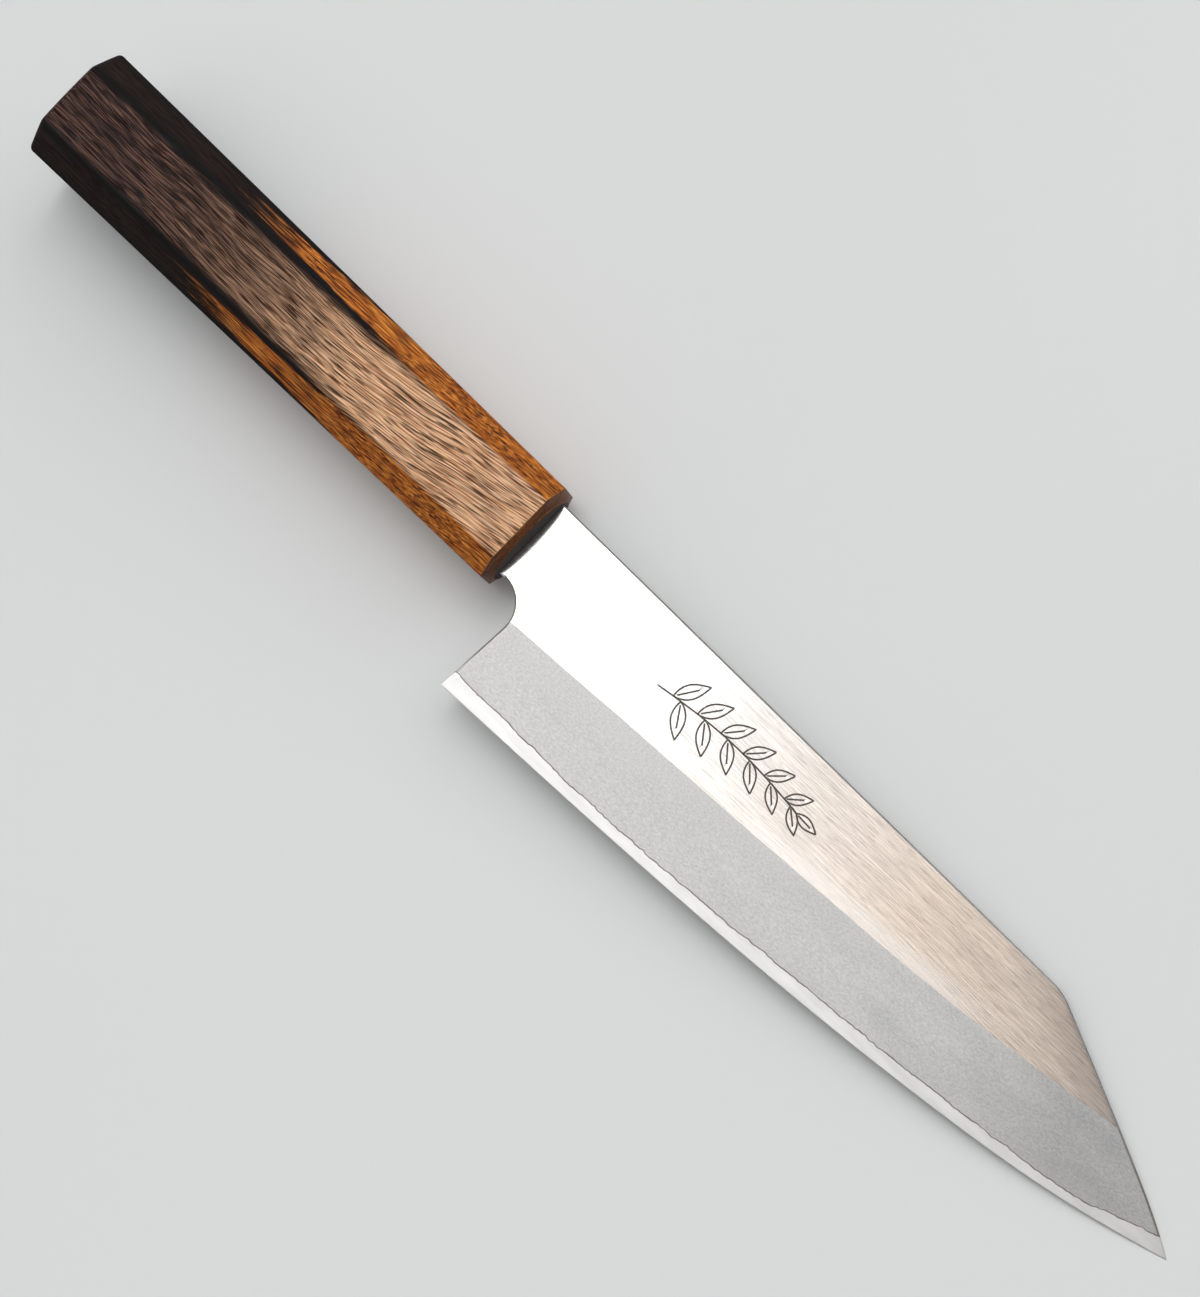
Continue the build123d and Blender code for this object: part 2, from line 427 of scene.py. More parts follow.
def triangulated(points, lines, ring):
    """Corners and triangles over the points inside the ring. The triangles keep to the given lines."""
    all_points, edges = [points], []
    count = len(points)
    for line, closed in lines:
        all_points.append(line)
        numbers = list(range(count, count + len(line)))
        edges += list(zip(numbers, numbers[1:] + (numbers[:1] if closed else [])))
        count += len(line)
    flat = [Vector(p) for p in np.vstack(all_points)]
    found = geometry.delaunay_2d_cdt(flat, edges, [], 0, 1e-5)
    corner = np.array([tuple(v) for v in found[0]])
    faces = np.array(found[2])
    a, b, c = corner[faces[:, 0]], corner[faces[:, 1]], corner[faces[:, 2]]
    area = (b - a)[:, 0] * (c - a)[:, 1] - (b - a)[:, 1] * (c - a)[:, 0]
    faces[area < 0] = faces[area < 0][:, ::-1]
    return corner, faces[inside((a + b + c) / 3, ring) & (np.abs(area) > 1e-9)]


def rim_edges(faces):
    """The directed edges that only one triangle has."""
    once = {}
    for f in faces:
        for a, b in ((f[0], f[1]), (f[1], f[2]), (f[2], f[0])):
            if (b, a) in once:
                del once[(b, a)]
            else:
                once[(a, b)] = True
    return list(once)


def plate(corner, faces, high, low, high_kinds, low_kinds, wall_kind):
    """A closed plate over flat triangles, from one height to another at each corner.

    Returns its points, faces and their kinds. A corner where the two heights meet is one point.
    """
    n = len(corner)
    under = np.where(high - low < 1e-5, np.arange(n), np.arange(n) + n)
    points = np.vstack([np.column_stack([corner, high]), np.column_stack([corner, low])])
    out = [tuple(f) for f in faces] + [tuple(under[f[::-1]]) for f in faces]
    kinds = [*high_kinds, *low_kinds]
    for a, b in rim_edges(faces):
        wall = [a, under[a], under[b], b]
        wall = [v for k, v in enumerate(wall) if v != wall[k - 1]]
        if len(wall) > 2:
            out.append(tuple(wall))
            kinds.append(wall_kind)
    used = sorted({v for f in out for v in f})
    place = {v: k for k, v in enumerate(used)}
    return points[used], [tuple(place[v] for v in f) for f in out], kinds


def normals(line):
    """The direction to the left of a polyline, at each of its points."""
    ahead = np.gradient(line, axis=0)
    ahead /= np.linalg.norm(ahead, axis=1)[:, None]
    return np.column_stack([-ahead[:, 1], ahead[:, 0]])


def offset_rows(line, gaps, rim):
    """Rows of points at the given gaps to the left of the line, where that is as far from the rim."""
    rows = []
    for gap in gaps:
        row = line + normals(line) * gap
        rows.append(row[distance_to(row, rim) > 0.985 * gap])
    return np.vstack(rows)


def fill_points(ring, rim, step, clear):
    """A staggered grid of points inside the ring, clear of the rim."""
    low, high = ring.min(0), ring.max(0)
    rows = []
    for k, y in enumerate(np.arange(low[1], high[1], step * 0.866)):
        x = np.arange(max(low[0], SHOULDER_X) + step / 2 * (k % 2), high[0], step)
        rows.append(run(x, y))
    points = np.vstack(rows)
    points = points[inside(points, ring)]
    return points[distance_to(points, rim) > clear]


def clear_of(points, lines, gap):
    """The points that are further than the gap from all the lines."""
    for line in lines:
        points = points[distance_to(points, line) > gap]
    return points


def to_nearest(points, lines):
    """How far each point is from the nearest of the lines."""
    return np.minimum(*[distance_to(points, line) for line in lines])


def rounding(gap, width):
    """How far an eased edge falls off at a gap from it: 1 at the edge and 0 from the width on."""
    share = np.clip(1 - gap / width, 0, 1)
    return 1 - np.sqrt(1 - share**2)


def bevel_ridge(ring):
    """The line between the flat and the wide bevel, from the heel to the drop."""
    start, end = float(heel_x(shinogi_y(8.5))), crossing(shinogi_y, top_y, 150, 184)
    x = spaced(start, end, 0.7)
    ridge = run(x, shinogi_y(x))
    if ridge[0, 1] < choil_end[1]:
        ridge[0, 0] = float(heel_x(ridge[0, 1]))
    return ridge[inside(ridge, ring)]


def groove_lines(strokes):
    """Each stroke's two banks and its bed, and the rows of points just outside the banks."""
    lines, points = [], []
    for line in strokes:
        across = normals(line)
        lines += [(line + across * GROOVE_WIDTH / 2 * way, False) for way in (-1, 0, 1)]
        points += [line + across * (GROOVE_WIDTH / 2 + 0.12) * way for way in (-1, 1)]
    return lines, points


def cladding(side, name, node, materials, strokes=()):
    """One outer ply. Side is 1 for the upper one and -1 for the lower one, which mirrors it."""
    end_x = crossing(lambda x: weld_y(x, side), top_y, 178, 185.5)
    start_y = float(weld_y(heel_x(HEEL[1] + STRIP[0][1]), side))
    start_x = float(heel_x(start_y))
    weld_x = spaced(start_x, end_x, CLADDING_WELD_STEP)
    weld = run(weld_x, weld_y(weld_x, side))
    weld[0], weld[-1] = (start_x, start_y), (end_x, float(top_y(end_x)))
    top = upper_outline(end_x)[1:]
    back = back_of_blade[back_of_blade[:, 1] > start_y + 0.1]
    ring = np.vstack([weld, top, tang_line()[1:-1], back])
    rim = np.vstack([weld[-1:], top, tang_line()[1:-1], back, weld[:1]])
    rounded = [np.vstack([weld[-1:], top]), np.vstack([back, weld[:1]])]

    dark = run(weld_x[1:-1], dark_top_y(weld_x[1:-1], side))
    dark = dark[(distance_to(dark, rim) > 0.05) & inside(dark, ring)]
    ridge = bevel_ridge(ring)
    grooves, points = groove_lines(strokes)
    gaps = [RIM_WIDTH * share for share in RIM_ROWS] + [1.1]
    points += [offset_rows(line, gaps, rim) for line in rounded]
    points.append(fill_points(ring, rim, PLATE_STEP, PLATE_CLEAR))
    points = clear_of(np.vstack(points), (weld, dark, ridge), LINE_CLEAR)
    points = clear_of(points, strokes, GROOVE_WIDTH / 2 + 0.06)
    points = points[inside(points, ring)]
    corner, faces = triangulated(points, [(ring, True), (dark, False), (ridge, False), *grooves], ring)

    x, y = corner.T
    inner = interface_z(x, y, side)
    outer = np.maximum(surface_z(x, y), inner)
    on_weld = distance_to(corner, weld) < 1e-4
    outer[on_weld] = inner[on_weld]
    outer = outer - RIM_FALL * (outer - inner) * rounding(to_nearest(corner, rounded), RIM_WIDTH)
    middle = corner[faces].mean(1)
    x, y = middle.T
    kinds = np.where(y < shinogi_y(x), BEVEL, FLAT)
    kinds[(to_nearest(middle, rounded) < RIM_WIDTH * RIM_ROWS[-2]) & (x > SHOULDER_X)] = RIM
    kinds[y < dark_top_y(x, side)] = WELD
    for line in strokes:
        cut = np.clip(1 - (distance_to(corner, line) / (GROOVE_WIDTH / 2))**2, 0, 1)
        outer = outer - GROOVE_DEPTH * cut
        kinds[distance_to(middle, line) < GROOVE_WIDTH / 2 * 0.98] = GROOVE
    hidden = np.full(len(faces), RIM)
    if side > 0:
        solid = plate(corner, faces, outer, inner, kinds, hidden, RIM)
    else:
        solid = plate(corner, faces, -inner, -outer, hidden, kinds, RIM)
    sharpen(made_piece(name, *solid, materials, node, "cladding_steel"), 25)


def core(materials):
    """The hard middle ply: hidden but for the bright strip along the edge, its rim and the tang's end."""
    edge_x = spaced(HEEL[0], TIP[0], 0.5)
    edge = run(edge_x, edge_y(edge_x))
    top = upper_outline(TIP[0])[1:]
    back = back_of_blade[:-1]
    ring = np.vstack([edge, top, tang_line()[1:-1], back])
    ends = [np.vstack([edge[-1:], top]), np.vstack([back, edge[:1]])]
    welds = []
    for side in (1, -1):
        x = spaced(HEEL[0] + 0.2, TIP[0], CORE_WELD_STEP)
        weld = run(x, weld_y(x, side))
        welds.append(weld[inside(weld, ring)])
    honed_gap = (HALF_AT_BEVEL_FOOT - HALF_AT_EDGE) / (math.tan(math.radians(EDGE_ANGLE)) - BEVEL_SLOPE)
    honed = run(edge_x[1:-1], edge_y(edge_x[1:-1]) + honed_gap)
    honed = honed[inside(honed, ring)]
    points = [offset_rows(line, [0.05, CORE_RIM, 0.4], ring) for line in ends]
    for share in (0.25, 0.5, 0.75):
        points.append(run(edge_x[1:-1], edge_y(edge_x[1:-1]) + share * strip(edge_x[1:-1])))
    points.append(fill_points(ring, ring, CORE_STEP, CORE_CLEAR))
    points = clear_of(np.vstack(points), (*welds, honed, edge), CORE_LINE_CLEAR)
    points = points[inside(points, ring)]
    lines = [(ring, True), (welds[0], False), (welds[1], False), (honed, False)]
    corner, faces = triangulated(points, lines, ring)

    x, y = corner.T
    fall = rounding(to_nearest(corner, ends), CORE_RIM)
    heights = []
    for side in (1, -1):
        bare = y < weld_y(x, side)
        z = np.where(bare, bevel_z(x, y), interface_z(x, y, side))
        heights.append(z - np.where(bare, CORE_RIM_FALL * z * fall, 0))
    x, y = corner[faces].mean(1).T
    kinds = []
    for side in (1, -1):
        shown = np.where(y < weld_y(x, side), BARE_CORE, HIDDEN)
        kinds.append(np.where(y < edge_y(x) + honed_gap, HONED, shown))
    solid = plate(corner, faces, heights[0], -heights[1], *kinds, HONED)
    sharpen(made_piece("steel_core", *solid, materials, "blade_core", "core_steel"), 30)


# ---------------------------------------------------------------------------------------------
# Handle

FACET_SHARES = [0.06, 0.14, 0.26, 0.42, 0.58, 0.74, 0.86, 0.94]     # where a facet's points lie
ARC_STEPS = 4
HALF_CORNER = math.radians(22.5)        # half of the 45 degrees between two facets
FAR_FROM_ARRIS = 9.0
DOME_SHARES = (0.12, 0.3, 0.5, 0.68, 0.84, 0.95)    # of the butt's rings, from its middle outwards
SECTION_STEP = 1.6              # between the rings along the facets


def octagon_corners(size):
    """The eight corners of the handle's section, as (Y, Z)."""
    half_height, half_thick, half_facet = size[0] / 2, size[1] / 2, FACET_WIDTH / 2
    corners = [(half_height, half_thick - half_height + half_facet), (half_facet, half_thick)]
    corners += [(-y, z) for y, z in corners[::-1]]
    corners += [(y, -z) for y, z in corners[::-1]]
    return np.array(corners)


def unit(v):
    """The direction of a vector."""
    return v / np.linalg.norm(v)


def octagon_ring(size):
    """The section with rounded arrises, as (Y, Z) points, and each point's distance from an arris."""
    corners = octagon_corners(size)
    cut = ARRIS_RADIUS * math.tan(HALF_CORNER)
    points, away = [], []
    for k in range(8):
        before, corner, after = corners[k - 1], corners[k], corners[(k + 1) % 8]
        back, ahead = unit(before - corner), unit(after - corner)
        start, end = corner + back * cut, corner + ahead * cut
        centre = corner + unit(back + ahead) * ARRIS_RADIUS / math.cos(HALF_CORNER)
        first = math.atan2(*(start - centre)[::-1])
        turn = math.atan2(*(end - centre)[::-1]) - first
        turn = (turn + math.pi) % (2 * math.pi) - math.pi
        for step in range(ARC_STEPS + 1):
            angle = first + turn * step / ARC_STEPS
            points.append(centre + ARRIS_RADIUS * np.array([math.cos(angle), math.sin(angle)]))
            away.append(0.0)
        facet_end = after - ahead * cut
        for share in FACET_SHARES:
            points.append(end + (facet_end - end) * share)
            away.append(min(share, 1 - share) * np.linalg.norm(facet_end - end))
    return np.array(points), np.array(away)


def oval_ring(like, size):
    """The front oval's point opposite each of the section's points."""
    angle = np.arctan2(like[:, 1] / size[1], like[:, 0] / size[0])
    return np.column_stack([size[0] / 2 * np.cos(angle), size[1] / 2 * np.sin(angle)])


def slot_ring(y_limits, half_z, radius=0.4, long_steps=16, short_steps=3):
    """A slot's outline with rounded corners, as (Y, Z) points, anticlockwise about +X."""
    radius = min(radius, half_z * 0.9)
    low, high, inner = y_limits[0] + radius, y_limits[1] - radius, half_z - radius
    arcs = []
    for quarter, centre in enumerate([(high, inner), (low, inner), (low, -inner), (high, -inner)]):
        angle = np.radians(90 * quarter + np.linspace(0, 90, 5))
        arcs.append(np.array(centre) + radius * np.column_stack([np.cos(angle), np.sin(angle)]))
    points = []
    for k, arc in enumerate(arcs):
        steps = short_steps if k % 2 else long_steps
        share = np.arange(1, steps)[:, None] / steps
        points += [arc, arc[-1] + (arcs[(k + 1) % 4][0] - arc[-1]) * share]
    return np.vstack(points)


def widened(limits, gap):
    """A pair of limits with the gap added at each end."""
    return limits[0] - gap, limits[1] + gap


class Rings:
    """Closed rings of points that are joined into a skin, ring after ring."""

    def __init__(self):
        self.points, self.faces, self.kinds, self.last = [], [], [], None

    def add(self, ring, kind=0):
        """Adds a ring of 3D points, joined to the ring before. Returns its points' numbers."""
        first = len(self.points)
        self.points += [tuple(p) for p in ring]
        numbers = list(range(first, first + len(ring)))
        if self.last:
            self.join(self.last, numbers, kind)
        self.last = numbers
        return numbers

    def join(self, before, after, kind=0):
        """A band of faces between two rings."""
        for k in range(len(after)):
            nxt = (k + 1) % len(after)
            self.faces.append((before[k], before[nxt], after[nxt], after[k]))
            self.kinds.append(kind)

    def close(self, point, kind=0):
        """Ends the skin in one point."""
        self.points.append(tuple(point))
        for k in range(len(self.last)):
            self.faces.append((self.last[k], self.last[(k + 1) % len(self.last)], len(self.points) - 1))
            self.kinds.append(kind)

    def fill_between(self, outer_ring, inner_ring, kind):
        """A flat face, square to X, between one ring and a smaller one inside it."""
        outer, inner = (np.array([self.points[k][1:] for k in ring]) for ring in (outer_ring, inner_ring))
        corner, faces = triangulated(outer[:0], [(outer, True), (inner, True)], outer)
        numbers = np.array(outer_ring + inner_ring)
        for face in faces[~inside(corner[faces].mean(1), inner)]:
            self.faces.append(tuple(numbers[face]))
            self.kinds.append(kind)


def at_x(x, ring):
    """A (Y, Z) ring as points at x, which may differ from point to point."""
    return np.column_stack([np.broadcast_to(x, len(ring)), ring])


def mouth_slot():
    """The outline of the handle's mouth, round the neck."""
    return slot_ring(widened((NECK_LOWER_Y, SPINE_START[1]), MORTISE_GAP), HALF_AT_NECK + MORTISE_GAP)


def handle(materials):
    """The octagonal handle with its domed butt, eased front end, mouth and bore."""
    butt, away = octagon_ring(HANDLE_BUTT)
    front, _ = octagon_ring(HANDLE_FRONT)
    skin = Rings()
    arris = []

    def dome_x(ring):
        falls = np.array(BUTT_DOME) * (2 * ring / np.array(HANDLE_BUTT))**2
        return falls.sum(1) - HANDLE_LENGTH

    def section(x):
        share = (x + HANDLE_LENGTH) / (HANDLE_LENGTH - FRONT_EASE)
        return butt + (front - butt) * share

    def ring_at(x, ring, kind):
        arris.extend([FAR_FROM_ARRIS] * len(ring) if kind == BORE else away)
        return skin.add(at_x(x, ring), kind)

    # the butt, from near its middle outwards, over its rounded edge and along the facets
    reach = np.linalg.norm(butt, axis=1)
    inset = butt * (1 - BUTT_ROUNDING / reach)[:, None]
    dome = [inset * share for share in DOME_SHARES]
    dome_rings = [ring_at(dome_x(ring), ring, BUTT) for ring in dome]
    for angle in np.radians([0, 18, 36, 54, 72, 90]):
        ring = butt * ((reach - BUTT_ROUNDING * (1 - math.sin(angle))) / reach)[:, None]
        lift = BUTT_ROUNDING * (1 - math.cos(angle))
        ring_at(dome_x(inset) + lift, ring, BUTT if angle < 0.9 else SIDES)
    start = float(dome_x(butt).max() + BUTT_ROUNDING)
    for x in [*spaced(start + 0.6, -FRONT_EASE - 0.4, SECTION_STEP), -FRONT_EASE - 0.08]:
        ring_at(x, section(x), SIDES)

    # the front: the facets roll over into the ease, and the ease into the oval face
    oval = oval_ring(front, FRONT_FACE)
    for u in (0.0, 0.05, 0.15, 0.4, 0.7, 0.9):
        ring = (front + (oval - front) * u) * (1 + FRONT_BULGE * math.sin(math.pi * u))
        ring_at(-FRONT_EASE + (FRONT_EASE - FRONT_ROUNDING) * u, ring, EASE)
    for angle in np.radians([0, 30, 60, 90]):
        shrink = 1 - FRONT_ROUNDING * (1 - math.cos(angle)) / (FRONT_FACE[1] / 2)
        ring_at(-FRONT_ROUNDING * (1 - math.sin(angle)), oval * shrink, EASE)
    face_ring, skin.last = skin.last, None

    # the mortise: mouth, then bore, then its end
    mouth_end, bore_end = SHOULDER_X - MORTISE_GAP, TANG_END_X - BORE_END_GAP
    mouth_ring = ring_at(0.0, mouth_slot(), BORE)
    ring_at(mouth_end, mouth_slot(), BORE)
    ring_at(mouth_end, slot_ring(widened(TANG_ROOT_Y, BORE_GAP), HALF_AT_NECK + MORTISE_GAP), BORE)
    ring_at(bore_end, slot_ring(widened(TANG_END_Y, BORE_GAP), HALF_AT_TANG_END + MORTISE_GAP), BORE)
    skin.close((bore_end, sum(TANG_END_Y) / 2, 0), BORE)

    # the butt's middle, and the flat front face between the oval and the mouth
    skin.last = dome_rings[0][::-1]
    skin.close((-HANDLE_LENGTH, 0, 0), BUTT)
    skin.fill_between(face_ring, mouth_ring, FRONT)
    arris += [FAR_FROM_ARRIS] * 2
    piece = made_piece("oak_handle", skin.points, skin.faces, skin.kinds, materials, "handle", "burnt_oak")
    layer = piece.data.attributes.new("arris", "FLOAT", "POINT")
    layer.data.foreach_set("value", np.array(arris, np.float32))
    sharpen(piece, 50)


def mouth_seal(materials):
    """The dark resin round the neck, in the handle's mouth."""
    slot = mouth_slot()
    neck = slot_ring((NECK_LOWER_Y, SPINE_START[1]), HALF_AT_NECK, radius=0.15)
    tang = slot_ring(TANG_ROOT_Y, HALF_AT_NECK, radius=0.15)
    back = SHOULDER_X - MORTISE_GAP
    rings = [(back, slot), (-RESIN_DEPTH, slot)]
    for u in (0.25, 0.5, 0.75, 1.0):
        sag = 0.16 * math.sin(math.pi * u) - 0.04 * u
        rings.append((-RESIN_DEPTH - sag, slot + (neck - slot) * u))
    rings += [(SHOULDER_X, neck), (SHOULDER_X, tang), (back, tang)]
    skin = Rings()
    numbers = [skin.add(at_x(x, ring)) for x, ring in rings]
    skin.join(numbers[-1], numbers[0])
    sharpen(made_piece("mouth_resin", skin.points, skin.faces, skin.kinds, materials, "mouth_seal",
                       "mouth_resin"), 40)


# ---------------------------------------------------------------------------------------------
# Materials


class Nodes:
    """Short ways to add nodes to a node tree."""

    def __init__(self, tree):
        self.tree = tree

    def node(self, kind, inputs=None, **settings):
        """A node with some of its settings and inputs. An input is a value or another node's output."""
        made = self.tree.nodes.new(kind)
        for key, value in settings.items():
            setattr(made, key, value)
        for key, value in (inputs or {}).items():
            self.feed(made.inputs[key], value)
        return made

    def feed(self, socket, value):
        """Links a socket to an output, or sets its value."""
        if isinstance(value, bpy.types.NodeSocket):
            self.tree.links.new(value, socket)
        else:
            socket.default_value = value

    def math(self, operation, *values):
        """A Math node's result."""
        return self.node("ShaderNodeMath", dict(enumerate(values)), operation=operation).outputs[0]

    def plus(self, a, b):
        """A sum."""
        return self.math("ADD", a, b)

    def minus(self, a, b):
        """A difference."""
        return self.math("SUBTRACT", a, b)

    def times(self, a, b):
        """A product."""
        return self.math("MULTIPLY", a, b)

    def greatest(self, a, *others):
        """The greatest of some values."""
        for other in others:
            a = self.math("MAXIMUM", a, other)
        return a

    def ramp(self, value, stops):
        """A colour ramp's result; a stop is (place, grey or colour)."""
        made = self.node("ShaderNodeValToRGB", {0: value})
        elements = made.color_ramp.elements
        while len(elements) < len(stops):
            elements.new(0.5)
        for element, (place, shade) in zip(elements, stops):
            element.position = place
            shade = (shade,) * 3 if isinstance(shade, (int, float)) else shade
            element.color = (*shade, 1)
        return made.outputs[0]

    def mix(self, share, a, b, how="MIX"):
        """Two colours mixed."""
        made = self.node("ShaderNodeMix", data_type="RGBA", blend_type=how)
        for socket, value in ((made.inputs[0], share), (made.inputs[6], a), (made.inputs[7], b)):
            if isinstance(value, tuple) and len(value) == 3:
                value = (*value, 1)
            self.feed(socket, value)
        return made.outputs[2]

    def dimmed(self, colour, factor):
        """A colour times a number."""
        return self.mix(1.0, colour, self.joined(factor, factor, factor), "MULTIPLY")

    def range(self, value, low, high, to_low=0.0, to_high=1.0, kind="SMOOTHSTEP"):
        """A value carried from one range to another, and held there."""
        made = self.node("ShaderNodeMapRange", {0: value, 1: low, 2: high, 3: to_low, 4: to_high})
        made.interpolation_type = kind
        return made.outputs[0]

    def stretched(self, point, size, move=(0, 0, 0)):
        """The point with each coordinate divided by a length."""
        scale = [1 / length for length in size]
        return self.node("ShaderNodeMapping", {0: point, "Scale": scale, "Location": move}).outputs[0]

    def noise(self, point, size, detail=2.0, roughness=0.5, move=(0, 0, 0)):
        """Noise from 0 to 1, in patches of about the given size."""
        looks = {"Vector": self.stretched(point, size, move), "Detail": detail, "Roughness": roughness}
        return self.node("ShaderNodeTexNoise", {**looks, "Scale": 1.0}).outputs[0]

    def cells(self, point, size, move=(0, 0, 0)):
        """A Voronoi node with cells of about the given size."""
        return self.node("ShaderNodeTexVoronoi", {"Vector": self.stretched(point, size, move), "Scale": 1.0})

    def split(self, point):
        """The point's three coordinates."""
        made = self.node("ShaderNodeSeparateXYZ", {0: point})
        return made.outputs[0], made.outputs[1], made.outputs[2]

    def joined(self, x, y, z):
        """A point from three coordinates."""
        return self.node("ShaderNodeCombineXYZ", {0: x, 1: y, 2: z}).outputs[0]


class Material(Nodes):
    """A material that ends in one Principled shader."""

    def __init__(self, name):
        self.material = bpy.data.materials.new(name)
        self.material.use_nodes = True
        super().__init__(self.material.node_tree)
        self.tree.nodes.clear()
        self.output = self.tree.nodes.new("ShaderNodeOutputMaterial")

    def knife(self):
        """The point on the knife's own axes, in mm."""
        axes = {"Location": knife_origin, "Rotation": (0, NOSE_DOWN, 0), "Scale": (MM, MM, MM)}
        place = self.node("ShaderNodeTexCoord").outputs["Object"]
        return self.node("ShaderNodeMapping", {0: place, **axes}, vector_type="TEXTURE").outputs[0]

    def bump(self, height, depth, strength):
        """A normal bent by a height that goes from 0 to a depth in mm."""
        inputs = {"Height": height, "Strength": strength, "Distance": depth * MM}
        return self.node("ShaderNodeBump", inputs).outputs[0]

    def surface(self, **inputs):
        """Ends the material, with these inputs of its shader."""
        made = self.node("ShaderNodeBsdfPrincipled")
        for key, value in inputs.items():
            self.feed(made.inputs[key.replace("_", " ")], value)
        self.tree.links.new(made.outputs[0], self.output.inputs[0])
        return self.material


def mottled(name, size, dark, light, detail=3, depth=None, strength=0.3, **looks):
    """A material in soft patches of two colours, which may also stand out a little."""
    s = Material(name)
    patches = s.noise(s.knife(), size, detail, 0.6)
    if depth:
        looks["Normal"] = s.bump(patches, depth, strength)
    return s.surface(Base_Color=s.ramp(patches, [(0.3, dark), (0.7, light)]), **looks)


def painted_flat_shade(s, x, y):
    """Painted shade: how much the flat darkens towards the spine and, ahead, towards the drop."""
    spine_side = s.range(y, -9.0, 9.5, 1.0, 0.88, "LINEAR")
    ahead = s.times(s.minus(x, SPINE_CORNER[0]), 0.45)
    from_drop = s.plus(s.minus(y, SPINE_CORNER[1]), ahead)
    return s.times(spine_side, s.range(from_drop, -9.0, 0.0, 1.0, 0.78))


def painted_ridge_sheen(s, x, y):
    """A painted sheen: the paler band of the flat just above the wide bevel, about the middle of the blade.
    """
    above_ridge = s.minus(y, s.math("MULTIPLY_ADD", x, *RIDGE_LINE))
    sheen = s.times(s.range(above_ridge, 0.3, 4.8, 0.5, 0.0), s.range(x, 62.0, 84.0))
    return s.times(sheen, s.range(x, 116.0, 140.0, 1.0, 0.0))


def brushed_flat():
    """The blade's flat sides: bright steel brushed lengthwise, warmer and duller ahead, with painted shade
    towards the spine and the drop and a painted sheen above the wide bevel.
    """
    s = Material("brushed_flat")
    p = s.knife()
    x, y, z = s.split(p)
    sway = s.noise(p, (45, 20, 20), 1)
    lifted = s.joined(x, s.plus(y, s.times(sway, 2.2)), z)
    hair = s.noise(lifted, (14, 0.16, 5), 2, 0.6)
    short = s.noise(lifted, (4.0, 0.15, 5), 2, 0.6, (3, 1, 0))
    coarse = s.noise(lifted, (50, 1.3, 5), 2, 0.5, (3, 1, 0))
    smudge = s.noise(p, (14, 7, 7), 3, 0.55, (2, 4, 0))
    bright = s.ramp(hair, [(0.32, (0.67, 0.655, 0.63)), (0.66, (0.87, 0.855, 0.83))])
    warm = s.ramp(hair, [(0.32, (0.69, 0.568, 0.480)), (0.62, (0.96, 0.82, 0.705))])
    tint = s.mix(s.range(x, 46.0, 108.0, kind="LINEAR"), bright, warm)
    tint = s.mix(0.25, tint, s.ramp(coarse, [(0.35, 0.72), (0.65, 1.0)]), "MULTIPLY")
    scratched = s.range(x, 25.0, 95.0, 0.25, 0.8)
    tint = s.mix(scratched, tint, s.ramp(short, [(0.34, 0.62), (0.50, 1.04)]), "MULTIPLY")
    tint = s.mix(0.5, tint, s.ramp(smudge, [(0.35, 0.93), (0.65, 1.04)]), "MULTIPLY")
    tint = s.mix(s.range(x, 140.0, 170.0, 0.0, 0.6), tint, (0.72, 0.655, 0.61))
    # a painted sheen on the flat just above the wide bevel
    tint = s.mix(painted_ridge_sheen(s, x, y), tint, (0.97, 0.93, 0.89))
    # painted shade on the flat, darker towards the spine and towards the drop
    tint = s.dimmed(tint, painted_flat_shade(s, x, y))
    rough = s.range(hair, 0.3, 0.7, 0.2, 0.26, "LINEAR")
    across_blade = s.joined(*(knife_turn @ Vector((0, 1, 0))))
    return s.surface(Base_Color=tint, Metallic=1.0, Roughness=rough, Anisotropic=0.85, Tangent=across_blade,
                     Normal=s.bump(hair, 0.006, 0.3))


def matte_bevel():
    """The wide bevels: an even, matt finish with soft clouds, more of them ahead, and painted shade that
    darkens them towards the tip.
    """
    s = Material("matte_bevel")
    p = s.knife()
    x, _, _ = s.split(p)
    cloud = s.noise(p, (24, 8, 8), 2, 0.5)
    fine = s.noise(p, (0.60, 0.24, 1), 3, 0.7)
    clouded = s.ramp(cloud, [(0.42, 0.0), (0.68, 1.0)])
    tint = s.mix(clouded, (0.55, 0.540, 0.532), (0.485, 0.481, 0.481))
    tint = s.mix(s.range(x, 60.0, 130.0, 0.75, 0.0), tint, (0.545, 0.536, 0.526))
    tint = s.mix(0.8, tint, s.ramp(fine, [(0.36, 0.74), (0.64, 1.08)]), "MULTIPLY")
    # painted shade: the bevels darken towards the tip
    tint = s.dimmed(tint, s.range(x, 128.0, 158.0, 1.0, 0.80))
    return s.surface(Base_Color=tint, Metallic=1.0, Roughness=0.5, Normal=s.bump(fine, 0.012, 0.4))


def polished_core():
    """The core's strip along the edge, ground across the blade."""
    s = Material("polished_core")
    p = s.knife()
    fine = s.noise(p, (0.35, 4, 4), 3, 0.6)
    cloud = s.noise(p, (9, 2, 2), 2, 0.5)
    tint = s.ramp(cloud, [(0.3, (0.60, 0.59, 0.585)), (0.7, (0.69, 0.675, 0.67))])
    return s.surface(Base_Color=tint, Metallic=1.0, Roughness=0.4, Normal=s.bump(fine, 0.008, 0.3))


def bent_grain(s, p, x, y, z):
    """The oak's grain: along the handle, but climbing and swaying a little towards the front."""
    near_front = s.range(x, -85.0, 5.0)
    climb = s.times(s.times(near_front, s.plus(x, 70.0)), GRAIN_TILT)
    sway = s.times(s.minus(s.noise(p, (30, 9, 9), 1), 0.5), 3.0)
    return s.joined(x, s.plus(s.minus(y, climb), sway), z)


def dashes(s, grain, length, width, low, high, move):
    """Dark dashes along the grain, one to a cell, from a small to a large share of the cell."""
    cell = s.cells(grain, (length, width, width), move)
    pick = s.split(cell.outputs["Color"])[0]
    size = s.range(pick, 0.1, 1.0, low, high, "LINEAR")
    share = s.math("DIVIDE", cell.outputs["Distance"], size)
    return s.range(share, 0.55, 1.0, 1.0, 0.0, "LINEAR")


